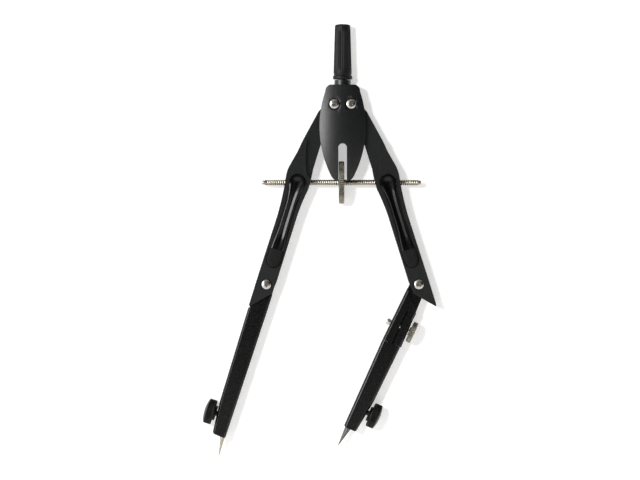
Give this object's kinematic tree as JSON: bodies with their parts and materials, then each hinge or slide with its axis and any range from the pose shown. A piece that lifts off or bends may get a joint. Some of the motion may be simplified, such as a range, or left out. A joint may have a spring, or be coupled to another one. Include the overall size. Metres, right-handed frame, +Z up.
{
  "type": "quick-adjust bow compass",
  "caption": "Drafting bow compass with a threaded spindle and centre wheel, quick-release levers, two knees, a clamped needle and a pull-out lead insert.",
  "frame": {"origin": "middle of the flared collar at the foot of the handle, on the handle's axis", "axes": "+Z up the handle, legs spread along X, the face with the levers looks towards -Y"},
  "size_m": [0.0886, 0.0162, 0.1648],
  "materials": {
    "handle_plastic": "satin moulded black with fine flutes",
    "head_shell": "satin moulded black",
    "leg_paint": "satin black paint over die-cast metal",
    "lever_gloss": "gloss black",
    "lower_leg_paint": "fine-grained near-black paint",
    "knob_plastic": "knurled black",
    "nickel": "nickel plate, slightly warm",
    "screw_steel": "polished steel",
    "nut_brass": "turned brass",
    "washer_nylon": "black nylon",
    "needle_steel": "ground and polished steel",
    "graphite": "ground graphite with a metallic sheen"
  },
  "bodies": {
    "head": {"handle": "handle_plastic", "handle_stem": "screw_steel", "front_cover": "head_shell", "back_cover": "head_shell", "pivot_screws": "screw_steel", "pivot_sleeves": "screw_steel"},
    "leg_left": {"upper_leg_left": "leg_paint", "lever_pin_left": "screw_steel", "lever_spring_left": "screw_steel", "knee_screw_left": "screw_steel", "knee_nut_left": "screw_steel", "knee_washers_left": "washer_nylon"},
    "block_left": {"swivel_block_left": "nut_brass"},
    "lever_left": {"release_lever_left": "lever_gloss"},
    "nut_left": {"half_nut_left": "nut_brass"},
    "leg_right": {"upper_leg_right": "leg_paint", "lever_pin_right": "screw_steel", "lever_spring_right": "screw_steel", "knee_screw_right": "screw_steel", "knee_nut_right": "screw_steel", "knee_washers_right": "washer_nylon"},
    "block_right": {"swivel_block_right": "nut_brass"},
    "lever_right": {"release_lever_right": "lever_gloss"},
    "nut_right": {"half_nut_right": "nut_brass"},
    "spindle_carrier": {"thrust_washers": "washer_nylon"},
    "spindle": {"spindle": "nickel", "centre_wheel": "nickel"},
    "lower_leg_left": {"lower_leg_left": "lower_leg_paint"},
    "needle": {"needle": "needle_steel"},
    "knob_left": {"clamp_knob_left": "knob_plastic", "clamp_stud_left": "nickel"},
    "knee_socket": {"knee_socket": "lower_leg_paint", "socket_clamp_screw": "nickel"},
    "socket_nut": {"socket_clamp_nut": "nickel"},
    "lead_insert": {"lead_insert": "lower_leg_paint"},
    "lead": {"lead": "graphite"},
    "knob_right": {"clamp_knob_right": "knob_plastic", "clamp_stud_right": "nickel"}
  },
  "joints": [
    {"name": "leg_spread", "type": "hinge", "parent": "head", "child": "leg_left", "pos_m": [-0.00315, 0, -0.0102], "axis": [0, 1, 0], "range_deg": [-9, 19.5]},
    {"name": "leg_right_turn", "type": "hinge", "parent": "head", "child": "leg_right", "pos_m": [0.00315, 0, -0.0102], "axis": [0, 1, 0], "range_deg": [-19.5, 9]},
    {"name": "block_left_turn", "type": "hinge", "parent": "leg_left", "child": "block_left", "pos_m": [-0.01717, 0, -0.03985], "axis": [0, 1, 0], "range_deg": [-19.5, 9]},
    {"name": "block_right_turn", "type": "hinge", "parent": "leg_right", "child": "block_right", "pos_m": [0.01717, 0, -0.03985], "axis": [0, 1, 0], "range_deg": [-9, 19.5]},
    {"name": "spindle_centring", "type": "slide", "parent": "block_left", "child": "spindle_carrier", "axis": [1, 0, 0], "range_m": [-0.00459, 0.00994]},
    {"name": "spindle_spin", "type": "hinge", "parent": "spindle_carrier", "child": "spindle", "pos_m": [-0.00042, 0, -0.03985], "axis": [1, 0, 0], "continuous": true},
    {"name": "lever_left_press", "type": "hinge", "parent": "leg_left", "child": "lever_left", "pos_m": [-0.02007, -0.00235, -0.04942], "axis": [0.9568, 0, -0.2907], "range_deg": [0, 4], "stiffness_Nm_per_rad": 0.3, "springref_deg": -11.46, "deforming": ["lever_spring_left"]},
    {"name": "nut_left_turn", "type": "hinge", "parent": "lever_left", "child": "nut_left", "pos_m": [-0.01717, -0.0015, -0.03985], "axis": [0, 1, 0], "range_deg": [-19.5, 9]},
    {"name": "lever_right_press", "type": "hinge", "parent": "leg_right", "child": "lever_right", "pos_m": [0.02007, -0.00235, -0.04942], "axis": [0.9568, 0, 0.2907], "range_deg": [0, 4], "stiffness_Nm_per_rad": 0.3, "springref_deg": -11.46, "deforming": ["lever_spring_right"]},
    {"name": "nut_right_turn", "type": "hinge", "parent": "lever_right", "child": "nut_right", "pos_m": [0.01717, -0.0015, -0.03985], "axis": [0, 1, 0], "range_deg": [-9, 19.5]},
    {"name": "knee_left_bend", "type": "hinge", "parent": "leg_left", "child": "lower_leg_left", "pos_m": [-0.02893, 0, -0.07856], "axis": [0, -1, 0], "range_deg": [0, 37]},
    {"name": "knee_right_bend", "type": "hinge", "parent": "leg_right", "child": "knee_socket", "pos_m": [0.02893, 0, -0.07856], "axis": [0, 1, 0], "range_deg": [-42.6, 16]},
    {"name": "needle_slide", "type": "slide", "parent": "lower_leg_left", "child": "needle", "axis": [-0.1908, 0, -0.9816], "range_m": [-0.003, 0.004]},
    {"name": "knob_left_turn", "type": "hinge", "parent": "lower_leg_left", "child": "knob_left", "pos_m": [-0.04887, 0, -0.12729], "axis": [-0.9516, 0, 0.3074], "continuous": true},
    {"name": "socket_nut_turn", "type": "hinge", "parent": "knee_socket", "child": "socket_nut", "pos_m": [0.02521, -0.0011, -0.09622], "axis": [0.9085, 0, -0.4179], "continuous": true},
    {"name": "insert_pull", "type": "slide", "parent": "knee_socket", "child": "lead_insert", "axis": [-0.4179, 0, -0.9085], "range_m": [0, 0.012]},
    {"name": "lead_slide", "type": "slide", "parent": "lead_insert", "child": "lead", "axis": [-0.4879, 0, -0.8729], "range_m": [-0.003, 0.004]},
    {"name": "knob_right_turn", "type": "hinge", "parent": "lead_insert", "child": "knob_right", "pos_m": [0.01062, 0, -0.12793], "axis": [0.9085, 0, -0.4179], "continuous": true}
  ],
  "couplings": [
    {"joint": "leg_right_turn", "follows": "leg_spread", "ratio": -1},
    {"joint": "block_left_turn", "follows": "leg_spread", "ratio": -1},
    {"joint": "block_right_turn", "follows": "leg_spread", "ratio": 1},
    {"joint": "nut_left_turn", "follows": "leg_spread", "ratio": -1},
    {"joint": "nut_right_turn", "follows": "leg_spread", "ratio": 1},
    {"joint": "spindle_centring", "follows": "leg_spread", "m_per_rad": 0.0292}
  ]
}
